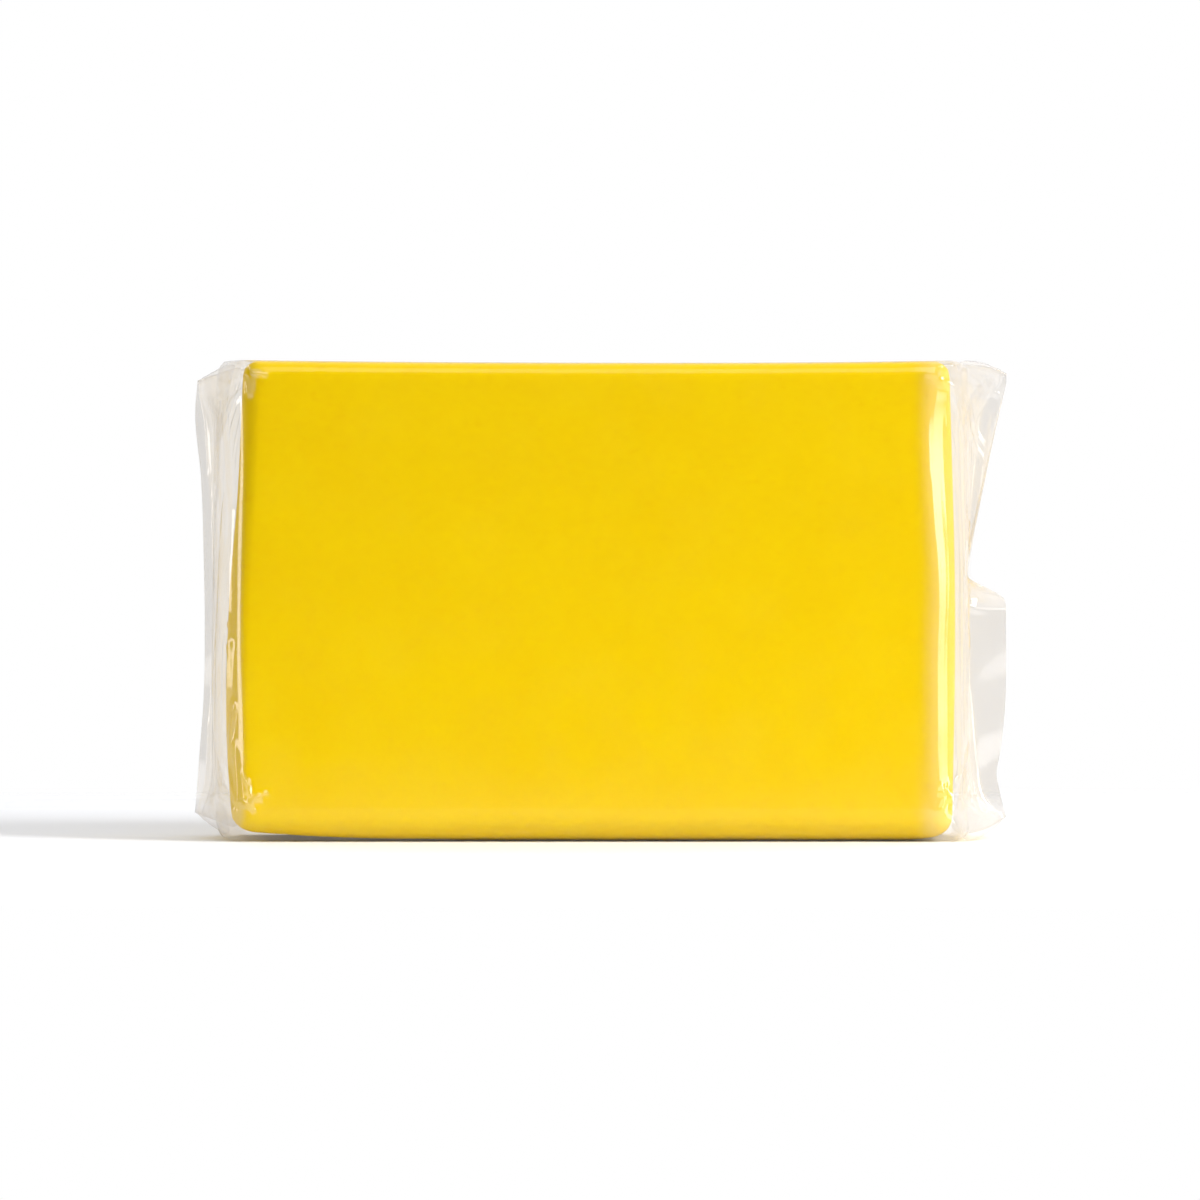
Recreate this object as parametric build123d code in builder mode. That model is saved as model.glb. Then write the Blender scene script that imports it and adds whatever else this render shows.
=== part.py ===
from build123d import *
import os

# A bar of detailing clay standing on its long narrow side, sealed in a wrapper of clear film.
# Millimetres. +X runs along the bar, +Y from its front face to its back, +Z up.
# The origin is the middle of the base of the whole wrapped bar.

# Driving dimensions: the clay
CLAY_LENGTH = 72.0
CLAY_THICKNESS = 20.0
CLAY_HEIGHT = 46.8
SIDE_EDGE_RADIUS = 3.6  # the four upright edges
TOP_EDGE_RADIUS = 1.5
BOTTOM_EDGE_RADIUS = 3.5  # the base has slumped, so it is rounder than the top

# Driving dimensions: the film
FILM = 0.1  # thickness of one layer
SLACK = 0.1  # air between the clay and the film
SEAM_WIDTH = 9.0  # the lengthways weld, laid flat along the back
SEAM_LAYERS = 2
SEAL_LAYERS = 3  # a fin is two to four layers, so three on average
FOLD_GAP = 0.3  # bare crease between an end wrap and its fin, where the fin folds

# Reach of the ends, outwards from each end of the sleeve
WRAP_DEPTH = 1.1  # from the sleeve to the crease
LEFT_REACH = 3.3  # from the sleeve to the tips of the left fin's ears
RIGHT_REACH = 4.6
LEFT_EDGE_SAG = 0.6  # the left fin's edge curves in between its ears

# Heights of the fins' features above the base
TOP_EAR_DROP = 1.1  # the top ears lie this far under the top of the sleeve
BOTTOM_EAR_RISE = 2.1
EAR_CHAMFER = 1.3  # height of the cut across the left fin's top ear
EAR_CHAMFER_WIDTH = 0.3
CREASE_FOOT = 26.8  # lower end of the right fin's slanted crease
NOTCH_LIP = 23.2  # where the right fin stands out fully again, under the crease
NICK_MIDDLE = 5.3  # a small bay in the right fin's edge, from its bottom ear up
NICK_TOP = 10.6
NICK_DEPTH = 0.8
NECK = 0.35  # width of the right fin at the foot of the crease

# Sizes worked out from the above
wall = FILM + SLACK
sleeve_thickness = CLAY_THICKNESS + 2 * wall
sleeve_height = CLAY_HEIGHT + 2 * wall
seam_thickness = SEAM_LAYERS * FILM
seal_thickness = SEAL_LAYERS * FILM
half_sleeve = CLAY_LENGTH / 2 + wall

# The middle of the clay: the longer right fin and the back seam put it off the middle of the whole bar
clay_x = (LEFT_REACH - RIGHT_REACH) / 2
clay_y = -seam_thickness / 2
clay_z = wall + CLAY_HEIGHT / 2

left_end = clay_x - half_sleeve
right_end = clay_x + half_sleeve
top_ear = sleeve_height - TOP_EAR_DROP
seal_height = top_ear - BOTTOM_EAR_RISE

os.makedirs("parts", exist_ok=True)


def section(x):
    """The plane across the bar at x, with its own x axis along +Y and its own y axis up."""
    return Plane(origin=(x, clay_y, sleeve_height / 2), x_dir=(0, 1, 0), z_dir=(1, 0, 0))


def sleeve_outline(inset):
    """The film's outline across the bar, inset from its outer face."""
    width = sleeve_thickness / 2 - inset
    height = sleeve_height / 2 - inset
    top_radius = TOP_EDGE_RADIUS + wall - inset
    bottom_radius = BOTTOM_EDGE_RADIUS + wall - inset
    with BuildSketch() as outline:
        with BuildLine():
            FilletPolyline(
                (-width, -height),
                (width, -height),
                (width, height),
                (-width, height),
                radius=[bottom_radius, bottom_radius, top_radius, top_radius],
                close=True,
            )
        make_face()
    return outline.sketch


def export(piece, name):
    piece.part.label = name
    export_step(piece.part, f"parts/{name}.step")


# The clay: a rectangular lump with soft edges
with BuildPart() as clay_block:
    with Locations((clay_x, clay_y, clay_z)):
        Box(CLAY_LENGTH, CLAY_THICKNESS, CLAY_HEIGHT)
    fillet(clay_block.edges().filter_by(Axis.Z), SIDE_EDGE_RADIUS)
    fillet(clay_block.faces().sort_by(Axis.Z)[0].edges(), BOTTOM_EDGE_RADIUS)
    fillet(clay_block.faces().sort_by(Axis.Z)[-1].edges(), TOP_EDGE_RADIUS)
export(clay_block, "clay_block")

# The sleeve: the film's four panels round the clay
with BuildPart() as film_sleeve:
    with BuildSketch(section(left_end)):
        add(sleeve_outline(0))
    extrude(amount=2 * half_sleeve)
    with BuildSketch(section(left_end)):
        add(sleeve_outline(FILM))
    extrude(amount=2 * half_sleeve, mode=Mode.SUBTRACT)
export(film_sleeve, "film_sleeve")

# The lengthways seam: a flat strip against the middle of the back
back_face = Plane(
    origin=(clay_x, clay_y + sleeve_thickness / 2, sleeve_height / 2), x_dir=(1, 0, 0), z_dir=(0, 1, 0)
)
with BuildPart() as back_seam:
    with BuildSketch(back_face):
        Rectangle(CLAY_LENGTH, SEAM_WIDTH)
    extrude(amount=seam_thickness)
export(back_seam, "back_seam")


def end_wrap(end_x, outwards):
    """A hollow cap of film that closes in from one end of the sleeve to the crease of its fin."""
    with BuildPart() as wrap:
        for shift, mode in ((0, Mode.ADD), (FILM, Mode.SUBTRACT)):
            base_x = end_x - outwards * shift
            with BuildSketch(section(base_x)):
                add(sleeve_outline(0))
            with BuildSketch(section(base_x + outwards * WRAP_DEPTH)):
                with Locations((0, BOTTOM_EAR_RISE + seal_height / 2 - sleeve_height / 2)):
                    RectangleRounded(seal_thickness + 2 * FILM, seal_height, FILM)
            loft(mode=mode)
    return wrap


export(end_wrap(left_end, -1), "left_end_wrap")
export(end_wrap(right_end, 1), "right_end_wrap")

# The fins lie in the upright plane through the middle of the clay; sketches on it are drawn in X and Z
fin_plane = Plane(origin=(0, clay_y, 0), x_dir=(1, 0, 0), z_dir=(0, -1, 0))

# The left fin: an ear at each end of an edge that curves in between them
left_root = left_end - WRAP_DEPTH - FOLD_GAP
left_tip = left_end - LEFT_REACH
with BuildPart() as left_end_seal:
    with BuildSketch(fin_plane):
        with BuildLine():
            ear_top = (left_tip, top_ear - EAR_CHAMFER)
            ear_bottom = (left_tip, BOTTOM_EAR_RISE)
            ThreePointArc(
                ear_top, (left_tip + LEFT_EDGE_SAG, BOTTOM_EAR_RISE + seal_height / 2), ear_bottom
            )
            Polyline(
                ear_bottom,
                (left_root, BOTTOM_EAR_RISE),
                (left_root, top_ear),
                (left_tip + EAR_CHAMFER_WIDTH, top_ear),
                ear_top,
            )
        make_face()
    extrude(amount=seal_thickness / 2, both=True)
export(left_end_seal, "left_end_seal")

# The right fin: cut away above its neck along the slanted crease, where the flap bends back
right_root = right_end + WRAP_DEPTH + FOLD_GAP
right_tip = right_end + RIGHT_REACH
crease_foot = (right_root + NECK, CREASE_FOOT)
crease_head = (right_tip, top_ear)
with BuildPart() as right_end_seal:
    with BuildSketch(fin_plane):
        with BuildLine():
            nick_top = (right_tip, NICK_TOP)
            nick_bottom = (right_tip, BOTTOM_EAR_RISE)
            ThreePointArc(nick_top, (right_tip - NICK_DEPTH, NICK_MIDDLE), nick_bottom)
            Polyline(
                nick_bottom,
                (right_root, BOTTOM_EAR_RISE),
                (right_root, top_ear),
                crease_head,
                crease_foot,
            )
            Spline(crease_foot, (right_tip, NOTCH_LIP), tangents=((0, -1), (0, -1)))
            Line((right_tip, NOTCH_LIP), nick_top)
        make_face()
    extrude(amount=seal_thickness / 2, both=True)
export(right_end_seal, "right_end_seal")

# The flap: the fin's upper corner, turned straight back about the slanted crease
foot = Vector(crease_foot[0], clay_y + seal_thickness / 2, crease_foot[1])
head = Vector(crease_head[0], clay_y + seal_thickness / 2, crease_head[1])
crease = head - foot
flap_plane = Plane(origin=foot, x_dir=crease, z_dir=crease.cross(Vector(0, 1, 0)))
corner = Vector(right_tip, foot.Y, CREASE_FOOT) - foot
along = corner.dot(crease.normalized())
across = (corner - crease.normalized() * along).length
with BuildPart() as right_seal_flap:
    with BuildSketch(flap_plane):
        with BuildLine():
            Polyline((0, 0), (crease.length, 0), (along, across), close=True)
        make_face()
    extrude(amount=seal_thickness)
export(right_seal_flap, "right_seal_flap")
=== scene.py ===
import math
from typing import NamedTuple

import bmesh
import bpy
import numpy as np
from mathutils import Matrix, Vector
from mathutils.bvhtree import BVHTree


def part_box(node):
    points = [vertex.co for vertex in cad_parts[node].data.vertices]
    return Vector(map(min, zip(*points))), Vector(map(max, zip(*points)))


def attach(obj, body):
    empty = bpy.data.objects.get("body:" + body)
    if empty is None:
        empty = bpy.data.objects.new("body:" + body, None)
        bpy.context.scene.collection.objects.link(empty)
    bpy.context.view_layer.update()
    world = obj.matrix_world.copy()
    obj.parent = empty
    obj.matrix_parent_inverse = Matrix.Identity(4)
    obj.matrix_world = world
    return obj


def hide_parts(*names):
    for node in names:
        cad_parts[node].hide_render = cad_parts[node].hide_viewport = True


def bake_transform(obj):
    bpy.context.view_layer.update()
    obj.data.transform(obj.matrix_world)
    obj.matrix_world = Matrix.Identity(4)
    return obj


# A bar of yellow detailing clay, standing on its long narrow side in a sealed wrapper of clear film.
# Shapes are worked out in millimetres in the frame's axes: +X along the bar, +Y to the back, +Z up.
# "Out" is the distance from the middle of the clay towards either end.

MM = 0.001

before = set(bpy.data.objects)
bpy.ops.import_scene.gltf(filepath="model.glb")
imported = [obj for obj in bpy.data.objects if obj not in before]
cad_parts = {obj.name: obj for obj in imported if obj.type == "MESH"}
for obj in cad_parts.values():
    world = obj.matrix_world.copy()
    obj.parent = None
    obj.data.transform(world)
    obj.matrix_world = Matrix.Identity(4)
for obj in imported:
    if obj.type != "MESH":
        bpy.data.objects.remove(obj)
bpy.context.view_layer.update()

clay_low, clay_high = (np.array(corner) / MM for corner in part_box("clay_block"))
film_low, film_high = (np.array(corner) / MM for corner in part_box("film_sleeve"))
seam_low, seam_high = (np.array(corner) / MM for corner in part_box("back_seam"))

CLAY_MIDDLE = (clay_low + clay_high) / 2
CLAY_HALF = (clay_high - clay_low) / 2
FILM_HEIGHT = film_high[2]
HALF_THICKNESS = (film_high[1] - film_low[1]) / 2
MIDDLE_X, MIDDLE_Y = CLAY_MIDDLE[:2]


# ---------------------------------------------------------------- small tools


def profile(*points):
    """A smooth curve through (position, value) points, level beyond its two ends."""
    places, values = np.array(points, float).T
    slopes = np.gradient(values, places)

    def curve(at):
        at = np.clip(at, places[0], places[-1])
        k = np.clip(np.searchsorted(places, at) - 1, 0, len(places) - 2)
        span = places[k + 1] - places[k]
        t = (at - places[k]) / span
        rise = values[k + 1] - values[k]
        bend = t * (1 - t) * ((1 - t) * (slopes[k] * span - rise) - t * (slopes[k + 1] * span - rise))
        return values[k] + t * rise + bend

    return curve


def smooth_step(low, high, at):
    t = np.clip((at - low) / (high - low), 0, 1)
    return t * t * (3 - 2 * t)


def mix(a, b, share):
    return a + (b - a) * share


def grid_mesh(name, points, wrap=False, flip=False, **values):
    """A quad sheet from a rows x columns x 3 array of points in millimetres.

    The values are given to its points as named attributes.
    """
    rows, columns = points.shape[:2]
    number = np.arange(rows * columns).reshape(rows, columns)
    right = np.roll(number, -1, axis=1)
    a, b = number[:-1], right[:-1]
    d, c = number[1:], right[1:]
    faces = np.stack([d, c, b, a] if flip else [a, b, c, d], axis=-1)
    if not wrap:
        faces = faces[:, :-1]
    mesh = bpy.data.meshes.new(name)
    mesh.from_pydata((points.reshape(-1, 3) * MM).tolist(), [], faces.reshape(-1, 4).tolist())
    mesh.validate()
    mesh.polygons.foreach_set("use_smooth", [True] * len(mesh.polygons))
    for label, value in values.items():
        field = mesh.attributes.new(label, "FLOAT", "POINT")
        field.data.foreach_set("value", np.broadcast_to(value, (rows, columns)).ravel())
    piece = bpy.data.objects.new(name, mesh)
    bpy.context.scene.collection.objects.link(piece)
    return piece


def waves(at, seed, count, longest, shortest):
    """Smooth unevenness along one or more axes: a sum of sines with seeded directions and phases."""
    draw = np.random.default_rng(seed)
    at = np.stack(np.broadcast_arrays(*at), axis=-1)
    total = np.zeros(at.shape[:-1])
    for length in np.geomspace(longest, shortest, count):
        direction = draw.normal(size=at.shape[-1])
        direction /= np.linalg.norm(direction)
        total += np.sin(at @ direction * 2 * math.pi / length + draw.uniform(0, 2 * math.pi))
    return total / count


# ---------------------------------------------------------------- the clay

CLAY_STEP = 0.7  # size of its faces
WELD_DISTANCE = 0.02

# Radii of its edges before the film presses them rounder
END_RADIUS = 2.2
FACE_RADIUS = 2.0
BASE_RADIUS = profile((0, 1.8), (20, 1.6), (47, 1.2))  # by height

# How far each end reaches past the block, by height, and how much less at its front and back edges
RIGHT_REACH = profile((0, -0.7), (22, -0.4), (47, -1.0))
LEFT_REACH = profile((0, -0.2), (10, 0.4), (24, 0.1), (34, -0.7), (47, -1.3))
END_CROWN = 0.5

# How far the large faces sink towards the ends, towards the top and base, and in their shallow waves
END_SINK = 0.25
RIM_SINK = 0.12
FACE_WAVE = 0.03

# Along the bar: the lift of its lower corners, the waves of its base, and the rise and sag of its top
BASE_LIFT = profile((-36, 0.8), (-33, 0.4), (-29, 0.1), (-25, 0), (34, 0), (36, 0.2))
BASE_WAVE = 0.22
TOP_RISE = 0.15
TOP_SAG = profile((-36, 0.0), (-27, 0.12), (0, 0.28), (26, 0.2), (36, 0.05))


def clay_points(cube):
    """Moves points from the surface of a -1..1 cube to the surface of the soft clay block."""
    flat = cube * CLAY_HALF
    height = flat[:, 2] + CLAY_HALF[2]
    radius = np.stack(np.broadcast_arrays(END_RADIUS, FACE_RADIUS, BASE_RADIUS(height)), axis=-1)
    core = np.clip(flat, radius - CLAY_HALF, CLAY_HALF - radius)
    way = (flat - core) / radius
    length = np.linalg.norm(way, axis=1, keepdims=True)
    point = core + radius * way / np.maximum(length, 1e-9)
    # The ends are crowned between front and back
    out = np.abs(point[:, 0]) / CLAY_HALF[0]
    reach = np.where(flat[:, 0] > 0, RIGHT_REACH(height), LEFT_REACH(height))
    crown = -END_CROWN * (point[:, 1] / CLAY_HALF[1]) ** 2
    point[:, 0] += np.sign(point[:, 0]) * out**6 * (reach + crown)
    # The large faces: pulled in a little towards the ends, and never quite flat
    x, z = point[:, 0], point[:, 2]
    face = np.sign(point[:, 1]) * np.clip(np.abs(point[:, 1]) / CLAY_HALF[1], 0, 1) ** 4
    sink = END_SINK * np.abs(x / CLAY_HALF[0]) ** 4 + RIM_SINK * np.abs(z / CLAY_HALF[2]) ** 4
    dimples = 1 + waves((x, z), seed=5, count=6, longest=40, shortest=12)
    point[:, 1] -= face * (sink + FACE_WAVE * dimples)
    # The base stands on a few high places, and the top dips between its corners
    base = np.clip(-z / CLAY_HALF[2], 0, 1) ** 6
    hollows = 1 + waves((x,), seed=11, count=4, longest=46, shortest=17)
    point[:, 2] += base * (BASE_WAVE * hollows + BASE_LIFT(x))
    top = np.clip(z / CLAY_HALF[2], 0, 1) ** 6
    point[:, 2] += top * (TOP_RISE - TOP_SAG(x))
    return point + CLAY_MIDDLE


def make_clay():
    """Six grids of points, one for each face of a cube, moved to the block's surface and joined."""
    counts = np.maximum(2, np.round(2 * CLAY_HALF / CLAY_STEP)).astype(int)
    points, faces = [], []
    for axis in range(3):
        others = [(axis + 1) % 3, (axis + 2) % 3]
        first, second = (np.linspace(-1, 1, counts[other] + 1) for other in others)
        across, up = np.meshgrid(first, second, indexing="ij")
        for side in (-1, 1):
            face = np.empty(across.shape + (3,))
            face[..., axis] = side
            face[..., others[0]] = across
            face[..., others[1]] = up
            number = np.arange(across.size).reshape(across.shape) + sum(len(p) for p in points)
            ring = [number[:-1, :-1], number[1:, :-1], number[1:, 1:], number[:-1, 1:]]
            faces.append(np.stack(ring[::side], axis=-1).reshape(-1, 4))
            points.append(face.reshape(-1, 3))
    mesh = bpy.data.meshes.new("clay")
    surface = clay_points(np.concatenate(points))
    mesh.from_pydata((surface * MM).tolist(), [], np.concatenate(faces).tolist())
    mesh.validate()
    piece = bpy.data.objects.new("clay", mesh)
    bpy.context.scene.collection.objects.link(piece)
    weld(mesh)
    mesh.polygons.foreach_set("use_smooth", [True] * len(mesh.polygons))
    return piece


def weld(mesh):
    """Joins the points that two neighbouring faces of the block share."""
    shape = bmesh.new()
    shape.from_mesh(mesh)
    bmesh.ops.remove_doubles(shape, verts=shape.verts, dist=WELD_DISTANCE * MM)
    shape.to_mesh(mesh)
    shape.free()


# ---------------------------------------------------------------- the film

# The film is a tube round the clay. Past each end of the clay it is tucked in at the top and bottom,
# closes in along the clay's end as a "wall", and is welded flat as a fin in the middle plane.
# A place on it is given by u, which runs outwards (-1 at the middle of the bar, 0 at the clay's
# end edge, 1 at the fin's root and 2 at the cut edge), and by q, the distance round the tube from the
# middle of the base, by way of the front, to the middle of the top. The back is the front mirrored.

QUARTER = HALF_THICKNESS + FILM_HEIGHT  # q at the front edge of the top
HALF_GIRTH = 2 * HALF_THICKNESS + FILM_HEIGHT
LAYER_GAP = 0.08  # between the layers of a fin
EAR_WIDTH = 3.4  # of the straight stretches of film that run to the ears, below them or above
EAR_FIN = 0.4  # width of the fin that is left at the ears
WINDOW_STEPS = 9  # samples each way of the small window that rounds the folds
FOLD_WINDOW = 0.14  # half its size round the tube, past the clay
EDGE_WINDOW = profile((0, 3.3), (12, 2.4), (36, 1.4), (47, 1.2))  # and over the clay, by height
LEAST_WINDOW = 0.2  # half its size along the tube
ROOT_SOFTNESS = 1.3  # half the width over which a wall turns into its fin, at top and bottom
FIN_WAVE = 0.3
WALL_WAVE = 0.1


def ridge(run, height, line, tall, wide):
    """How high a sharp crease along a line of (run, height) points stands. It dies out at its ends."""
    line = np.array(line, float)
    steps = np.linalg.norm(np.diff(line, axis=0), axis=1)
    starts = np.concatenate([[0], np.cumsum(steps)])
    nearest = np.full(run.shape, np.inf)
    along = np.zeros(run.shape)
    for start, point, step, way in zip(starts, line, steps, np.diff(line, axis=0)):
        way = way / step
        ahead = np.clip((run - point[0]) * way[0] + (height - point[1]) * way[1], 0, step)
        gap = np.hypot(run - point[0] - ahead * way[0], height - point[1] - ahead * way[1])
        along = np.where(gap < nearest, start + ahead, along)
        nearest = np.minimum(nearest, gap)
    share = along / starts[-1]
    fade = smooth_step(0, 0.1, share) * smooth_step(0, 0.35, 1 - share)
    return tall * fade * np.clip(1 - (np.hypot(nearest, 0.1) - 0.1) / wide, 0, 1)


def star(seed, corner, count, tall):
    """Short creases that run out all round from a pinched corner, at (run, height)."""
    draw = np.random.default_rng(seed)
    creases = []
    for angle in np.arange(count) * 2 * math.pi / count + draw.uniform(-0.4, 0.4, count):
        way = np.array([math.cos(angle), math.sin(angle)])
        start = np.array(corner) + way * draw.uniform(0.05, 0.3)
        end = start + way * draw.uniform(0.9, 2.4)
        creases.append((tall * draw.uniform(0.5, 1), draw.uniform(0.18, 0.3), [start, end]))
    return creases


def fan(seed, corner, count, tall):
    """Creases that spread over the end wall from a corner of the clay, at (run, height)."""
    draw = np.random.default_rng(seed)
    upward = 1 if corner[1] < FILM_HEIGHT / 2 else -1
    creases = []
    for angle in np.linspace(0.3, 1.4, count) + draw.uniform(-0.12, 0.12, count):
        way = np.array([math.cos(angle), upward * math.sin(angle)])
        start = np.array(corner) + way * draw.uniform(0.1, 0.9)
        end = start + way * draw.uniform(3, 9)
        creases.append((tall * draw.uniform(0.4, 1), draw.uniform(0.25, 0.45), [start, end]))
    return creases


class Ears(NamedTuple):
    """How the fin's outline draws in towards its bottom and top corners."""

    start: float  # out of where it starts
    reach: float  # out of where it has drawn in fully
    rise: float  # of the bottom corner
    drop: float  # of the top corner
    power: float  # over 1, it starts gently


class FilmEnd:
    """Half of the sheet: its shape from the middle of the bar to one cut edge."""

    def __init__(self, side, loose, corner, bend, root, bulge, tip, ears, front, back, seed, crease=None):
        self.side = side  # +1 right, -1 left
        self.loose = loose  # from and to where, along u, the film comes away from the clay
        self.corner = corner  # out of the clay's end edge, by height
        self.bend = bend  # how far from that edge the film starts to turn, by height
        self.root = root  # out of the fin's root, by height
        self.bulge = bulge  # how far the clay pushes the wall out between corner and root, by height
        self.tip = tip  # out of the cut edge when flat, by height
        self.ears = ears
        self.front = front  # creases of the front layer, as (tall, wide, line)
        self.back = back  # and of the back layer
        self.seed = seed
        self.crease = crease  # the slanted crease where the fin is bent back, if any

    def tent(self, from_edge):
        """1 along the ears, where the film runs straight from the clay's corner to the cut edge."""
        return np.exp(-((from_edge / EAR_WIDTH) ** 2))

    def plan(self, u, height, tent):
        """Out and depth (from the middle plane) of the front layer, and the direction it runs in."""
        edge, tip = self.corner(height), self.tip(height)
        root = mix(self.root(height), tip - EAR_FIN, tent)
        depth = -HALF_THICKNESS
        wall = np.clip(u, 0, 1)
        fin = np.clip(u - 1, 0, 1) * (tip - root)
        pushed = self.bulge(height) * np.sin(math.pi * wall)
        out = np.where(u < 0, edge * (1 + u), mix(edge, root, wall) + pushed) + fin
        deep = mix(depth, -1.5 * LAYER_GAP, wall)
        if self.crease is not None:
            turn, fold_out = self.crease(height)
            past = np.maximum(out - np.maximum(fold_out, root), 0) * (u > 1)
            out = out - past * (1 - np.cos(turn))
            deep = deep + past * np.sin(turn)
        length = np.hypot(root - edge, depth)
        inward = np.stack([depth / length, (root - edge) / length], axis=-1)
        on_wall = ((u > 0) & (u < 1))[..., None]
        inward = np.where(on_wall, inward, np.array([0.0, 1.0]))
        return out, deep, inward, length

    def lift(self, out, height):
        """Where each height of the film has moved to, this far out: its outline draws in at the ears."""
        ears = self.ears
        share = np.clip((out - ears.start) / (ears.reach - ears.start), 0, 1.05) ** ears.power
        low = (1 - height / FILM_HEIGHT) ** 4 * ears.rise * share
        high = (height / FILM_HEIGHT) ** 4 * ears.drop * share
        return height + low - high

    def place(self, u, q):
        """The sharply creased film: points in millimetres, for arrays of u and q."""
        mirrored = (q < 0) | (q > HALF_GIRTH)
        q = np.where(q < 0, -q, np.where(q > HALF_GIRTH, 2 * HALF_GIRTH - q, q))
        tuck = np.clip(np.maximum(HALF_THICKNESS - q, q - QUARTER), 0, None)  # how far into a tuck
        tucked = tuck > 0
        at_top = q > HALF_GIRTH / 2
        height = np.clip(q - HALF_THICKNESS, 0, FILM_HEIGHT)
        tent = self.tent(np.where(tucked, tuck, np.minimum(height, FILM_HEIGHT - height)))
        inner = np.where(at_top, FILM_HEIGHT - tuck, tuck)

        # The wall's length at this place turns u into a distance past the clay's end edge
        wall_height = np.where(tucked, inner, height)
        _, _, _, length = self.plan(u, wall_height, tent)
        run = np.clip(u, 0, None) * length
        folded_down = tucked & (run < tuck)
        path_u = np.where(folded_down, tuck / length, u)
        path_height = np.where(folded_down, np.where(at_top, FILM_HEIGHT - run, run), wall_height)
        out, deep, inward, _ = self.plan(path_u, path_height, tent)
        layers = np.where(folded_down, 2, 1)  # that lie over this one
        under = np.where(tucked, smooth_step(0, 0.8, tuck) * layers, 0) * LAYER_GAP
        out = out + inward[..., 0] * under
        deep = deep + inward[..., 1] * under
        high = self.lift(out, path_height)

        # Over the clay the tube is a plain box
        over = u < 0
        out = np.where(over & tucked, out * (1 + u), out)
        deep = np.where(over, np.where(tucked, tuck - HALF_THICKNESS, -HALF_THICKNESS), deep)
        high = np.where(over, np.where(tucked, np.where(at_top, FILM_HEIGHT, 0), height), high)
        deep = np.where(mirrored, -deep, deep)
        return np.stack([out, deep, high], axis=-1)

    def lengths(self, height):
        """Of the sheet laid flat at each height: over the clay, along the wall and across the fin."""
        edge, root = self.corner(height), self.root(height)
        return edge, np.hypot(root - edge, HALF_THICKNESS), self.tip(height) - root

    def run(self, u, height):
        """Distance along the sheet laid flat, from the clay's end edge."""
        edge, wall, fin = self.lengths(height)
        return np.where(u < 0, u * edge, np.clip(u, 0, 1) * wall + np.clip(u - 1, 0, None) * fin)

    def windows(self, u, height):
        """The run, and how far to each side the film is averaged, round the tube and along it."""
        _, wall, fin = self.lengths(height)
        over_clay = 1 - smooth_step(-0.02, 0.25, u)
        round_window = mix(FOLD_WINDOW, EDGE_WINDOW(height), over_clay)
        run, bend = self.run(u, height), self.bend(height)
        near_ears = smooth_step(6, 18, np.abs(height - FILM_HEIGHT / 2))
        softness = ROOT_SOFTNESS * near_ears * smooth_step(0.3, 0.8, u)
        softness = np.minimum(softness, wall + fin - run)
        base = LEAST_WINDOW + np.maximum(softness, 0)
        end_window = base + (bend - base) * (1 - smooth_step(bend * 0.8, bend * 2, np.abs(run)))
        return run, round_window, end_window

    def surface(self, u, q):
        """The film with its folds rounded: the mean of the sharp film over a small window."""
        u, q = np.broadcast_arrays(u, q)
        half_q = np.where(q > HALF_GIRTH, 2 * HALF_GIRTH - q, q)
        height = np.clip(half_q - HALF_THICKNESS, 0, FILM_HEIGHT)
        run, round_window, end_window = self.windows(u, height)
        edge, wall, fin = self.lengths(height)
        steps = np.linspace(-1, 1, WINDOW_STEPS)
        total = 0
        for i in steps:
            moved = run + i * end_window
            past_edge = np.where(moved < wall, moved / wall, 1 + (moved - wall) / fin)
            moved_u = np.where(moved < 0, moved / edge, past_edge)
            for j in steps:
                total = total + self.place(moved_u, q + j * round_window)
        point = total / WINDOW_STEPS**2
        point[..., 1] += self.sway(u, point)
        top = np.clip(point[..., 2] / FILM_HEIGHT, 0, 1) ** 12 * (1 - smooth_step(-0.05, 0.3, u))
        point[..., 2] -= top * TOP_SAG(self.side * point[..., 0])
        point[..., 0] = MIDDLE_X + self.side * point[..., 0]
        point[..., 1] += MIDDLE_Y
        return point

    def sway(self, u, point):
        """The fin's own waves, shared by all its layers."""
        wave = waves((point[..., 0], point[..., 2]), self.seed, count=4, longest=21, shortest=7)
        return FIN_WAVE * wave * smooth_step(0.7, 1.4, u)

    def relief(self, u, q):
        """How far the outer layers stand out of the smooth film, with every crease and wrinkle."""
        u, q = np.broadcast_arrays(u, q)
        total = np.zeros(u.shape)
        for mirrored, creases in ((False, self.front), (True, self.back)):
            round_q = 2 * HALF_GIRTH - q if mirrored else q
            height = round_q - HALF_THICKNESS
            outer = smooth_step(-0.3, 0.3, height) * smooth_step(-0.3, 0.3, FILM_HEIGHT - height)
            run = self.run(u, height)
            for tall, wide, line in creases:
                total += outer * ridge(run, height, line, tall, wide)
            slack = smooth_step(-0.5, 3, run) * (1 - smooth_step(9.5, 11.5, run))
            upright = (run * 1.6, height * 0.45)
            pleats = 1 + waves(upright, self.seed + mirrored, count=5, longest=14, shortest=3)
            total += outer * WALL_WAVE * slack * pleats
        return total


# The right fin's slanted crease, as (out, height): its foot near the root and its head at the top ear
CREASE_FOOT = (37.0, 26.8)
CREASE_HEAD = (40.8, 46.1)
FLAP_TURN = math.radians(95)
NOTCH_BOTTOM = 22.6  # up to here the fin is flat
NOTCH_TOP = 26.2  # and from here it is bent back fully


def right_crease(height):
    """How far the fin is bent back at each height, and how far out it bends."""
    turn = FLAP_TURN * smooth_step(NOTCH_BOTTOM, NOTCH_TOP, height)
    out = np.interp(height, [CREASE_FOOT[1], CREASE_HEAD[1]], [CREASE_FOOT[0], CREASE_HEAD[0]])
    return turn, out


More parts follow.
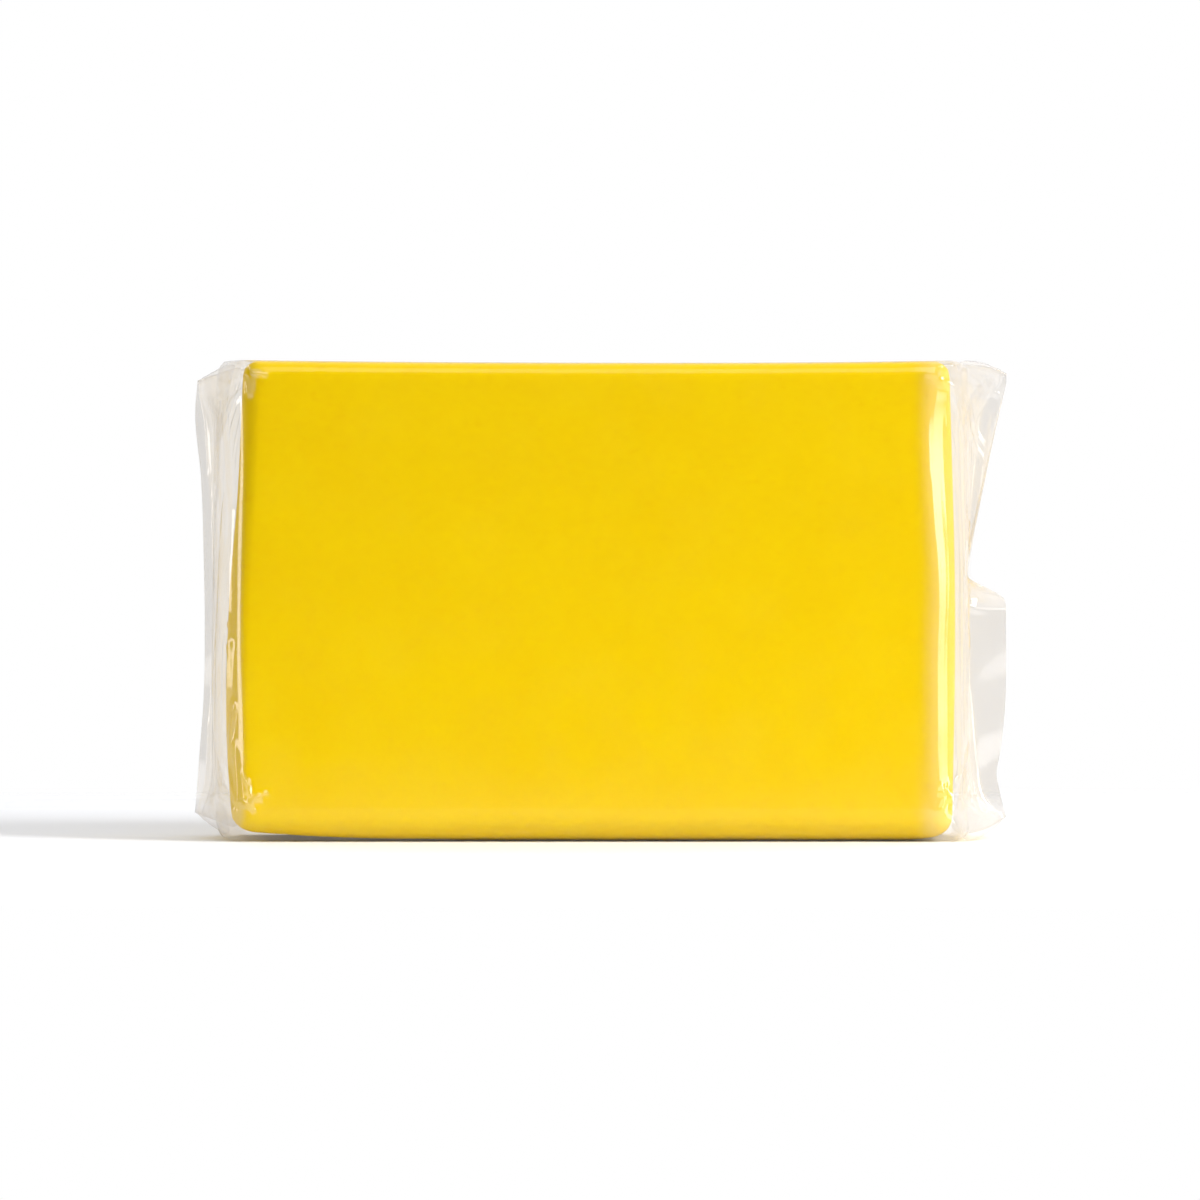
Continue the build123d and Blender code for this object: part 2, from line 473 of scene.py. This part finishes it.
# Creases as (tall, wide, line). A line is (run, height) points on the sheet laid flat. Run is the
# distance from the clay's end edge, with the fin's root near 10, and height goes up the clay's end.
RIGHT_FRONT = [
    # a close pair, from the clay's top corner down across the fin
    (0.26, 0.42, [(-2.0, 45.6), (4.5, 43.6), (9.5, 41.4), (13.2, 37.6)]),
    (0.22, 0.36, [(0.4, 44.4), (6.0, 42.0), (10.0, 39.6), (13.4, 36.2)]),
    # short ones under the top ear
    (0.22, 0.40, [(1.5, 46.2), (6.5, 45.2), (10.0, 44.0), (11.2, 42.4)]),
    (0.22, 0.45, [(2.0, 46.6), (8.0, 46.0), (13.6, 45.2)]),
    (0.18, 0.35, [(9.8, 46.0), (11.4, 44.6), (13.4, 44.4)]),
    # along the fin's root
    (0.14, 0.28, [(9.3, 40.4), (10.0, 36.2)]),
    (0.14, 0.28, [(9.6, 31.8), (10.2, 27.2)]),
    # under the notch, and down from it
    (0.24, 0.40, [(4.5, 26.0), (9.0, 24.1), (11.0, 22.7), (13.6, 22.4)]),
    (0.16, 0.32, [(6.0, 24.8), (8.5, 20.5), (10.2, 16.4)]),
    # from the bottom corner: along the fold to the bottom ear, and up towards the root
    (0.26, 0.42, [(-0.4, 4.9), (2.5, 3.6), (6.0, 2.4), (13.6, 0.5)]),
    (0.18, 0.34, [(0.4, 5.8), (5.0, 8.0), (10.4, 11.2)]),
    (0.14, 0.30, [(4.5, 1.4), (8.5, 1.2), (10.5, 2.2)]),
]
LEFT_FRONT = [
    # the long upright fold near the root, swinging out to the cut edge
    (0.20, 0.36, [(10.6, 33.5), (10.2, 23.6), (10.1, 17.7), (10.7, 13.7), (11.0, 9.5)]),
    # upright pleats on the wall
    (0.20, 0.34, [(3.0, 34.8), (3.8, 24.0), (5.0, 13.7), (6.0, 11.8)]),
    (0.16, 0.30, [(1.0, 33.8), (1.3, 26.0), (1.2, 18.2)]),
    (0.30, 0.90, [(1.4, 20.5), (1.8, 15.0), (2.6, 10.2)]),
    (0.16, 0.32, [(0.6, 14.0), (1.6, 8.0), (3.4, 3.4)]),
    # crumpled top and bottom corners
    (0.18, 0.32, [(-1.6, 45.9), (-1.2, 43.0)]),
    (0.18, 0.32, [(-0.8, 46.4), (2.0, 45.6), (6.5, 45.4)]),
    (0.16, 0.30, [(0.3, 45.9), (1.6, 44.6), (2.4, 42.0)]),
    (0.18, 0.32, [(-2.2, 4.6), (-1.0, 3.4), (0.8, 4.2)]),
    (0.18, 0.32, [(-1.6, 2.6), (-1.2, 5.2), (-0.2, 7.4)]),
    # a bent loop above the bottom ear
    (0.18, 0.30, [(5.0, 4.6), (7.6, 3.0), (4.6, 1.4), (2.2, 1.0)]),
]

right_end = FilmEnd(
    side=1,
    loose=(-0.12, -0.05),
    corner=profile((0, 35.1), (10, 35.3), (21, 35.4), (25, 35.6), (36, 35.2), (47, 34.9)),
    bend=profile(
        (0, 0.8), (4, 2.6), (12, 3.4), (24, 3.6), (32, 4.2), (43, 4.2), (45, 3.6), (46.2, 2.2), (47, 0.8)
    ),
    root=profile((0, 37.2), (24, 36.9), (47, 37.2)),
    bulge=profile((0, 0.2), (22, 0.3), (47, 0.2)),
    tip=profile((0, 40.8), (3.5, 40.2), (5.6, 39.9), (8, 40.3), (12, 40.7), (22, 40.8), (47, 40.8)),
    ears=Ears(start=36.0, reach=40.8, rise=2.1, drop=1.1, power=2.5),
    front=RIGHT_FRONT
    + fan(21, (0, 45.5), 5, 0.14)
    + fan(22, (0, 2.5), 5, 0.14)
    + star(51, (-0.9, 45.6), 6, 0.2)
    + star(52, (-0.5, 4.6), 6, 0.25),
    back=fan(23, (0, 45), 7, 0.3) + fan(24, (0, 3), 7, 0.3),
    seed=31,
    crease=right_crease,
)
left_end = FilmEnd(
    side=-1,
    loose=(-0.03, -0.005),
    corner=profile((0, 35.0), (22, 35.2), (40, 35.0), (47, 34.8)),
    bend=profile((0, 0.8), (4, 1.8), (22, 1.8), (44, 1.2), (47, 0.6)),
    root=profile((0, 37.8), (24, 37.6), (47, 37.8)),
    bulge=profile((0, 0.5), (13, 1.0), (26, 0.8), (36, 0.4), (47, 0.2)),
    tip=profile((0, 39.7), (7, 39.3), (13, 38.9), (28, 38.85), (36, 39.1), (44, 39.65), (47, 39.4)),
    ears=Ears(start=34.8, reach=39.6, rise=2.4, drop=1.9, power=1.15),
    front=LEFT_FRONT
    + fan(25, (0, 45.5), 5, 0.14)
    + fan(26, (0, 2.5), 5, 0.14)
    + star(53, (-0.8, 46.0), 7, 0.25)
    + star(54, (-1.4, 4.2), 7, 0.25),
    back=fan(27, (0, 45), 7, 0.3) + fan(28, (0, 3), 7, 0.3),
    seed=41,
)

# Where the sheet's rows of points lie along u: few over the clay, many where it folds
ROWS = np.concatenate(
    [
        np.linspace(-1, -0.2, 26, endpoint=False),
        np.linspace(-0.2, 0, 34, endpoint=False),
        np.linspace(0, 1, 48, endpoint=False),
        np.linspace(1, 2, 22),
    ]
)
ROUND_STEP = 0.24  # spacing of points round the tube
WALL_FUSED = 0.75  # how far the tucked layers cling to the wall in front; past the root, fully


def outward(points, side, wrap):
    """Unit normals of a rows x columns grid of points, away from the clay."""
    along = np.gradient(points, axis=0)
    if wrap:
        around = np.roll(points, -1, axis=1) - np.roll(points, 1, axis=1)
    else:
        around = np.gradient(points, axis=1)
    normal = side * np.cross(along, around)
    return normal / np.maximum(np.linalg.norm(normal, axis=-1, keepdims=True), 1e-9)


def make_film(end, name):
    """One half of the sheet.

    Its named values are how free it is of the clay, how far it is fused with its neighbours, and how
    deep in a tuck it is.
    """
    columns = int(2 * HALF_GIRTH / ROUND_STEP)
    q = (np.arange(columns) * 2 * HALF_GIRTH / columns)[None, :]
    u = ROWS[:, None]
    points = end.surface(u, q)
    relief = end.relief(u, q)
    points += outward(points, end.side, wrap=True) * relief[..., None]
    half_q = np.minimum(q, 2 * HALF_GIRTH - q)
    tuck = np.maximum(HALF_THICKNESS - half_q, half_q - QUARTER)
    on_wall = WALL_FUSED * smooth_step(0, 0.2, u)
    fused = mix(on_wall, 1, smooth_step(0.9, 1.0, u)) * smooth_step(0.2, 0.6, tuck)
    free = np.maximum(smooth_step(*end.loose, u), smooth_step(0.02, 0.1, relief))
    return grid_mesh(name, points, wrap=True, flip=end.side > 0, free=free, fused=fused, tuck=tuck)


CLAY_GAP = 0.1  # least distance from the clay to the film over it


def settle(clay, films):
    """Presses the clay in wherever it would touch or cross the film round it, leaving out the tucks."""
    corners, faces = [], []
    for film in films:
        mesh = film.data
        tuck = np.zeros(len(mesh.vertices))
        mesh.attributes["tuck"].data.foreach_get("value", tuck)
        free = np.zeros(len(mesh.vertices))
        mesh.attributes["free"].data.foreach_get("value", free)
        inner = (tuck > 0) & (free > 0)
        start = len(corners)
        corners += [vertex.co.copy() for vertex in mesh.vertices]
        for polygon in mesh.polygons:
            if not any(inner[k] for k in polygon.vertices):
                faces.append([start + k for k in polygon.vertices])
    shell = BVHTree.FromPolygons(corners, faces)
    for vertex in clay.data.vertices:
        place, normal, _, _ = shell.find_nearest(vertex.co)
        outside = (vertex.co - place).dot(normal) + CLAY_GAP * MM
        if outside > 0:
            vertex.co -= normal * outside


# The back seam: the sheet's two long edges welded face to face, folded flat on the back of the bar
SEAM_STEP = 0.6
SEAM_LIFT = 0.14  # of its inner layer over the film behind it
SEAM_GAP = 0.10  # between its two layers
SEAM_CURL = 0.12  # of its free edges
SEAM_FREE = 0.3  # how far it looks like free film, rather than film pressed to the clay


def make_seam(end, name):
    """A flattened loop: the outer layer from the fold down to the free edges, and the inner back up."""
    width = seam_high[2] - seam_low[2]
    across = np.linspace(seam_high[2], seam_low[2], int(width / SEAM_STEP))
    loop = np.concatenate([across, across[::-1]])
    inner = np.repeat([0, 1], len(across))
    q = (2 * HALF_GIRTH - HALF_THICKNESS - loop)[None, :]
    u = ROWS[:, None]
    points = end.surface(u, q)
    single = end.surface(u, q[:, : len(across)])
    away = outward(single, end.side, wrap=False)
    away = np.concatenate([away, away[:, ::-1]], axis=1)
    from_fold = (seam_high[2] - loop) / width
    curl = 1 + waves((points[..., 0],), end.seed + 7, count=4, longest=30, shortest=6)
    lift = SEAM_LIFT + SEAM_GAP * (1 - inner) * smooth_step(0, 0.05, 1 - from_fold)
    lift = lift + SEAM_CURL * from_fold**3 * curl
    lift = lift * smooth_step(-0.02, 0.06, from_fold) + end.relief(u, q)
    points += away * lift[..., None]
    fused = smooth_step(-0.05, 0.1, u)
    return grid_mesh(name, points, wrap=True, flip=end.side > 0, free=SEAM_FREE, fused=fused)


# ---------------------------------------------------------------- materials

CLAY_YELLOW = (0.91, 0.645, 0.0, 1)
CLAY_DEEP = (0.88, 0.585, 0.0, 1)
FILM_TINT = (0.95, 0.942, 0.932, 1)  # of what passes through one layer
FILM_MILK = (0.92, 0.88, 0.84, 1)  # of what it scatters
PRESSED_ROUGHNESS = 0.15  # of film that lies on the clay and follows its grain
FLOOR_WHITE = (0.88, 0.89, 0.92, 1)
FLOOR_REACH = (0.30, 0.13)  # half the floor's length and depth, in metres


class Nodes:
    """A material's node tree, with short ways to add nodes and join them."""

    def __init__(self, name):
        self.material = bpy.data.materials.new(name)
        self.material.use_nodes = True
        self.tree = self.material.node_tree
        self.tree.nodes.clear()

    def add(self, kind, **inputs):
        """A node of this kind. Each input is a number, a tuple or the output socket of another node."""
        node = self.tree.nodes.new(f"ShaderNode{kind}")
        for name, value in inputs.items():
            socket = node.inputs[name.replace("_", " ")]
            if isinstance(value, bpy.types.NodeSocket):
                self.tree.links.new(value, socket)
            else:
                socket.default_value = value
        return node

    def noise(self, scale, detail=2.0, stretch=(1, 1, 1)):
        """Noise over the object, with its scale in waves per millimetre; about 0.25 to 0.75."""
        place = self.add("TexCoord").outputs["Object"]
        sized = self.add("Mapping", Vector=place)
        sized.inputs["Scale"].default_value = [scale * share / MM for share in stretch]
        texture = self.add("TexNoise", Vector=sized.outputs["Vector"], Scale=1.0, Detail=detail)
        return texture.outputs["Fac"]

    def ramp(self, value, low, high, to_low, to_high):
        """Maps low..high to to_low..to_high, held level outside."""
        node = self.add("MapRange", Value=value)
        node.inputs["From Min"].default_value = low
        node.inputs["From Max"].default_value = high
        node.inputs["To Min"].default_value = to_low
        node.inputs["To Max"].default_value = to_high
        return node.outputs["Result"]

    def maths(self, operation, first, second):
        node = self.add("Math")
        node.operation = operation
        for value, socket in zip((first, second), node.inputs):
            if isinstance(value, bpy.types.NodeSocket):
                self.tree.links.new(value, socket)
            else:
                socket.default_value = value
        return node.outputs["Value"]

    def finish(self, shader):
        output = self.add("OutputMaterial")
        self.tree.links.new(shader, output.inputs["Surface"])
        return self.material


def clay_material():
    """Soft pigmented clay: cloudy patches, a fine grain, and small darker flecks scattered at random."""
    n = Nodes("clay_yellow")
    clouds = n.ramp(n.noise(0.16, detail=3), 0.35, 0.65, 0.0, 0.35)
    grain = n.ramp(n.noise(1.6, detail=3, stretch=(0.6, 1, 1.2)), 0.35, 0.7, 0.0, 0.45)
    flecks = n.ramp(n.noise(1.1, detail=1, stretch=(0.7, 1, 1.3)), 0.66, 0.76, 0.0, 0.8)
    shade = n.maths("ADD", n.maths("ADD", clouds, grain), flecks)
    colour = n.add("MixRGB", Fac=shade, Color1=CLAY_YELLOW, Color2=CLAY_DEEP)
    dents = n.add("Bump", Strength=0.25, Distance=0.05 * MM, Height=n.noise(1.1, detail=3))
    shader = n.add(
        "BsdfPrincipled",
        Base_Color=colour.outputs["Color"],
        Roughness=n.ramp(n.noise(0.8), 0.3, 0.7, 0.5, 0.65),
        Specular_IOR_Level=0.05,
        Normal=dents.outputs["Normal"],
    )
    return n.finish(shader.outputs["BSDF"])


def film_material(name, mirror, roughness, haze):
    """Clear film: a layer lets through what it doesn't mirror, and mirrors more the flatter it is seen.

    Its free parts are a little milky. Layers fused inside a weld have hardly any surface of their own.
    """
    n = Nodes(name)
    ripple = n.add("Bump", Strength=0.2, Distance=0.03 * MM, Height=n.noise(0.35, detail=3))
    free = n.add("Attribute")
    free.attribute_name = "free"
    fused = n.add("Attribute")
    fused.attribute_name = "fused"
    handling = n.ramp(n.noise(0.25, detail=4), 0.35, 0.7, 0.9, 1.5)
    pressed = n.ramp(free.outputs["Fac"], 0, 1, PRESSED_ROUGHNESS, roughness)
    gloss = n.add(
        "BsdfPrincipled",
        Base_Color=FILM_MILK,
        Metallic=n.ramp(free.outputs["Fac"], 0, 1, 1.0, mirror / (mirror + haze)),
        Roughness=n.maths("MULTIPLY", handling, pressed),
        Normal=ripple.outputs["Normal"],
    )
    facing = n.add("LayerWeight", Blend=0.5)
    grazing = n.maths("POWER", facing.outputs["Facing"], 5.0)
    head_on = n.ramp(free.outputs["Fac"], 0, 1, mirror / 2, mirror)
    shine = n.maths("ADD", head_on, n.ramp(grazing, 0, 1, 0, 1 - mirror))
    milk = n.ramp(free.outputs["Fac"], 0, 1, 0, haze)
    own = n.ramp(fused.outputs["Fac"], 0, 1, 1, 0.05)
    colour = n.add("MixRGB", Fac=fused.outputs["Fac"], Color1=FILM_TINT, Color2=(1, 1, 1, 1))
    clear = n.add("BsdfTransparent", Color=colour.outputs["Color"])
    blend = n.add("MixShader", Fac=n.maths("MULTIPLY", n.maths("ADD", shine, milk), own))
    n.tree.links.new(clear.outputs["BSDF"], blend.inputs[1])
    n.tree.links.new(gloss.outputs["BSDF"], blend.inputs[2])
    return n.finish(blend.outputs["Shader"])


def floor_material():
    """Matt white, fading out at its rim, so that it has no edge against the white room."""
    n = Nodes("floor_white")
    shader = n.add("BsdfPrincipled", Base_Color=FLOOR_WHITE, Roughness=0.9, Specular_IOR_Level=0.1)
    place = n.add("TexCoord").outputs["Object"]
    sized = n.add("Mapping", Vector=place)
    sized.inputs["Scale"].default_value = [1 / FLOOR_REACH[0], 1 / FLOOR_REACH[1], 0]
    rim = n.add("VectorMath")
    rim.operation = "LENGTH"
    n.tree.links.new(sized.outputs["Vector"], rim.inputs[0])
    clear = n.add("BsdfTransparent")
    blend = n.add("MixShader", Fac=n.ramp(rim.outputs["Value"], 0.6, 1.0, 1.0, 0.0))
    n.tree.links.new(clear.outputs["BSDF"], blend.inputs[1])
    n.tree.links.new(shader.outputs["BSDF"], blend.inputs[2])
    return n.finish(blend.outputs["Shader"])


# ---------------------------------------------------------------- pieces

clay = make_clay()
clay.data.materials.append(clay_material())
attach(clay, "wrapped_bar")
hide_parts("clay_block")

film = film_material("clear_film", mirror=0.08, roughness=0.07, haze=0.10)
weld_film = film_material("welded_film", mirror=0.08, roughness=0.12, haze=0.12)
sheets = []
for end, side, nodes in (
    (left_end, "left", ["film_sleeve", "left_end_wrap", "left_end_seal"]),
    (right_end, "right", ["right_end_wrap", "right_end_seal", "right_seal_flap"]),
):
    sheet = make_film(end, f"{side}_film")
    sheets.append(sheet)
    seam = make_seam(end, f"{side}_back_seam_film")
    for piece, material, slot in ((sheet, film, "film"), (seam, weld_film, "film_weld")):
        piece.data.materials.append(material)
        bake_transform(piece)
    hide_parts(*nodes)
    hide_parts("back_seam")

settle(clay, sheets)

# ---------------------------------------------------------------- studio

scene = bpy.context.scene
scene.view_settings.view_transform = "Standard"
scene.cycles.transparent_max_bounces = 48

CAMERA_DISTANCE = 0.70
CAMERA_ELEVATION = math.radians(0.6)
FRAME_WIDTH = 0.1190  # what the frame spans at the bar's middle plane
SENSOR = 36.0

camera_data = bpy.data.cameras.new("camera")
camera = bpy.data.objects.new("camera", camera_data)
scene.collection.objects.link(camera)
scene.camera = camera
target = np.array([-0.00015, 0, 0.0236])
camera.location = target + CAMERA_DISTANCE * np.array(
    [0, -math.cos(CAMERA_ELEVATION), math.sin(CAMERA_ELEVATION)]
)
camera.rotation_euler = (math.pi / 2 - CAMERA_ELEVATION, 0, 0)
camera_data.sensor_width = SENSOR
camera_data.lens = SENSOR * CAMERA_DISTANCE / FRAME_WIDTH
camera_data.clip_start = 0.01
camera_data.clip_end = 20


SHADE_WIDTH = 0.7  # share of a shaded light's width over which it rises from dark
SHADED_STRENGTH = 1.8  # past that


def softbox(name, place, aim, width, height, power, shaded=False):
    """A lit rectangle. A shaded one is dimmer towards its left side, as seen from the bar."""
    light = bpy.data.lights.new(name, "AREA")
    light.shape = "RECTANGLE"
    light.size, light.size_y = width, height
    light.energy = power
    lamp = bpy.data.objects.new(name, light)
    scene.collection.objects.link(lamp)
    lamp.location = place
    lamp.rotation_euler = (Vector(aim) - Vector(place)).to_track_quat("-Z", "Y").to_euler()
    if shaded:
        light.use_nodes = True
        nodes, links = light.node_tree.nodes, light.node_tree.links
        place_on = nodes.new("ShaderNodeNewGeometry")
        split = nodes.new("ShaderNodeSeparateXYZ")
        share = nodes.new("ShaderNodeMapRange")
        links.new(place_on.outputs["Parametric"], split.inputs["Vector"])
        links.new(split.outputs["Y"], share.inputs["Value"])
        share.inputs["From Max"].default_value = SHADE_WIDTH
        share.inputs["To Max"].default_value = SHADED_STRENGTH
        links.new(share.outputs["Result"], nodes["Emission"].inputs["Strength"])


AT_BAR = (0, 0, 0.02)
softbox("key", (0.635, -0.37, 0.27), AT_BAR, width=0.29, height=0.80, power=6.4, shaded=True)
softbox("fill", (0.2, -1.0, 0.68), AT_BAR, width=0.9, height=0.7, power=3.7)
softbox("left_card", (-0.60, -0.32, 0.22), AT_BAR, width=0.14, height=0.6, power=1.1)
softbox("top", (0, 0.2, 1.4), (0, 0.2, 0), width=2.4, height=2.4, power=8)


def make_world():
    """A white sweep behind the bar and a dim room in front. The camera itself sees white all round."""
    world = bpy.data.worlds.new("studio")
    scene.world = world
    world.use_nodes = True
    nodes, links = world.node_tree.nodes, world.node_tree.links
    sky = nodes["Background"]
    direction = nodes.new("ShaderNodeTexCoord")
    split = nodes.new("ShaderNodeSeparateXYZ")
    links.new(direction.outputs["Generated"], split.inputs["Vector"])

    def glow(axis, start, end, low, high):
        """Strength that rises from low to high as a direction's axis goes from start to end."""
        node = nodes.new("ShaderNodeMapRange")
        node.interpolation_type = "SMOOTHSTEP"
        for name, value in zip(("From Min", "From Max", "To Min", "To Max"), (start, end, low, high)):
            node.inputs[name].default_value = value
        links.new(split.outputs[axis], node.inputs["Value"])
        return node.outputs["Result"]

    def brighter(first, second):
        node = nodes.new("ShaderNodeMath")
        node.operation = "MAXIMUM"
        links.new(first, node.inputs[0])
        links.new(second, node.inputs[1])
        return node.outputs["Value"]

    sweep = glow("Y", -0.45, 0.5, 0.02, 0.85)
    ground = glow("Z", -0.15, -0.35, 0.0, 0.5)
    path = nodes.new("ShaderNodeLightPath")
    room = brighter(sweep, ground)
    links.new(brighter(room, path.outputs["Is Camera Ray"]), sky.inputs["Strength"])
    sky.inputs["Color"].default_value = (1, 1, 1, 1)


make_world()

reach_x, reach_y = FLOOR_REACH
corners = [(x * reach_x, y * reach_y, 0) for x, y in ((-1, -1), (1, -1), (1, 1), (-1, 1))]
floor_mesh = bpy.data.meshes.new("floor")
floor_mesh.from_pydata(corners, [], [(0, 1, 2, 3)])
floor_mesh.materials.append(floor_material())
floor = bpy.data.objects.new("floor", floor_mesh)
scene.collection.objects.link(floor)
